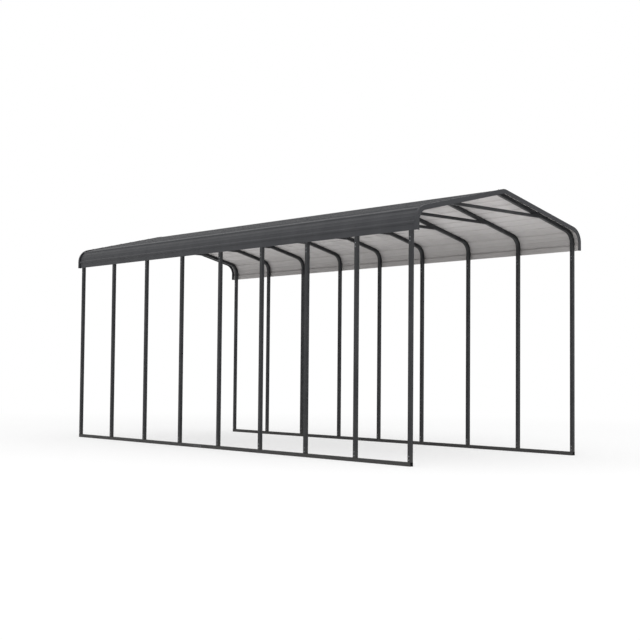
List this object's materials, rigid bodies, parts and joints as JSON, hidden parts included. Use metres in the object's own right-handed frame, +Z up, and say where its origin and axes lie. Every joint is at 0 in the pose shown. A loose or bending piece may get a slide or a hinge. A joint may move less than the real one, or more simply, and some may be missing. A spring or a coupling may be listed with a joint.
{
  "type": "carport",
  "caption": "Open-sided long steel carport with square-tube posts and bent bows on two base rails, and a low gable roof of ribbed sheets that wraps over rounded eaves.",
  "frame": {"origin": "on the ground, at the middle of the carport's plan", "axes": "+X to the right seen from the front gable, +Y along the length away from the front gable, +Z up"},
  "size_m": [4.3132, 10.059, 4.5291],
  "materials": {
    "frame_tube": "satin",
    "roof_sheet": "satin",
    "trim": "satin"
  },
  "bodies": {
    "root": {"left_post_1": "frame_tube", "left_post_2": "frame_tube", "left_post_3": "frame_tube", "left_post_4": "frame_tube", "left_post_5": "frame_tube", "left_post_6": "frame_tube", "left_post_7": "frame_tube", "left_post_8": "frame_tube", "left_post_9": "frame_tube", "right_post_1": "frame_tube", "right_post_2": "frame_tube", "right_post_3": "frame_tube", "right_post_4": "frame_tube", "right_post_5": "frame_tube", "right_post_6": "frame_tube", "right_post_7": "frame_tube", "right_post_8": "frame_tube", "right_post_9": "frame_tube", "roof_bow_1": "frame_tube", "roof_bow_2": "frame_tube", "roof_bow_3": "frame_tube", "roof_bow_4": "frame_tube", "roof_bow_5": "frame_tube", "roof_bow_6": "frame_tube", "roof_bow_7": "frame_tube", "roof_bow_8": "frame_tube", "roof_bow_9": "frame_tube", "peak_braces": "frame_tube", "base_rail_left_front": "frame_tube", "base_rail_left_back": "frame_tube", "base_rail_right_front": "frame_tube", "base_rail_right_back": "frame_tube", "ridge_sheet": "roof_sheet", "middle_sheet_left": "roof_sheet", "middle_sheet_right": "roof_sheet", "eave_sheet_left": "roof_sheet", "eave_sheet_right": "roof_sheet", "gable_trim_front_left": "trim", "gable_trim_front_right": "trim", "gable_trim_back_left": "trim", "gable_trim_back_right": "trim"}
  },
  "joints": []
}
